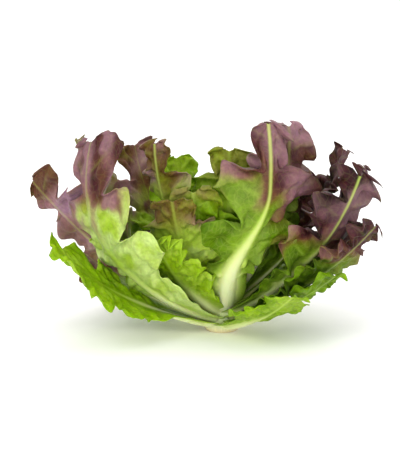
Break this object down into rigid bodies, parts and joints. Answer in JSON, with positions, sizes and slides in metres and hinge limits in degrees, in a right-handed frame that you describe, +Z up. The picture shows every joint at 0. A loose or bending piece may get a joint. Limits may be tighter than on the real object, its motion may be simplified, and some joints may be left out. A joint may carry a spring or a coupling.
{
  "type": "oak leaf lettuce head",
  "caption": "Head of red oak leaf lettuce with lobed, waved leaves on pale ribs, cut flat across its stem, on which it stands.",
  "frame": {"origin": "centre of the stem's flat cut face, which the head stands on", "axes": "+Z up along the head's axis, -Y towards the front, where the two tallest leaves show their backs, +X to the right as seen from the front"},
  "size_m": [0.2846, 0.2276, 0.1819],
  "materials": {
    "stem": "satin",
    "leaf_low_left": "satin",
    "leaf_low_right": "satin",
    "leaf_low_far_right": "satin",
    "leaf_low_back": "satin",
    "leaf_low_back_left": "satin",
    "leaf_low_back_right": "satin",
    "leaf_left": "satin",
    "leaf_right_low": "satin",
    "leaf_front_left": "satin",
    "leaf_pocket": "satin",
    "leaf_front_right": "satin",
    "leaf_right": "satin",
    "leaf_right_middle": "satin",
    "leaf_back_left_outer": "satin",
    "leaf_back_right_outer": "satin",
    "leaf_centre_front": "satin",
    "leaf_cup": "satin",
    "leaf_right_back": "satin",
    "leaf_left_back": "satin",
    "leaf_back_left_middle": "satin",
    "leaf_back": "satin",
    "leaf_right_inner": "satin",
    "leaf_back_right_inner": "satin",
    "leaf_left_inner": "satin",
    "leaf_front_inner": "satin",
    "leaf_back_inner": "satin",
    "leaf_right_heart": "satin",
    "heart": "satin"
  },
  "bodies": {
    "root": {"stem": "stem", "leaf_low_left": "leaf_low_left", "leaf_low_right": "leaf_low_right", "leaf_low_far_right": "leaf_low_far_right", "leaf_low_back": "leaf_low_back", "leaf_low_back_left": "leaf_low_back_left", "leaf_low_back_right": "leaf_low_back_right", "leaf_left": "leaf_left", "leaf_right_low": "leaf_right_low", "leaf_front_left": "leaf_front_left", "leaf_pocket": "leaf_pocket", "leaf_front_right": "leaf_front_right", "leaf_right": "leaf_right", "leaf_right_middle": "leaf_right_middle", "leaf_back_left_outer": "leaf_back_left_outer", "leaf_back_right_outer": "leaf_back_right_outer", "leaf_centre_front": "leaf_centre_front", "leaf_cup": "leaf_cup", "leaf_right_back": "leaf_right_back", "leaf_left_back": "leaf_left_back", "leaf_back_left_middle": "leaf_back_left_middle", "leaf_back": "leaf_back", "leaf_right_inner": "leaf_right_inner", "leaf_back_right_inner": "leaf_back_right_inner", "leaf_left_inner": "leaf_left_inner", "leaf_front_inner": "leaf_front_inner", "leaf_back_inner": "leaf_back_inner", "leaf_right_heart": "leaf_right_heart", "heart": "heart"}
  },
  "joints": []
}
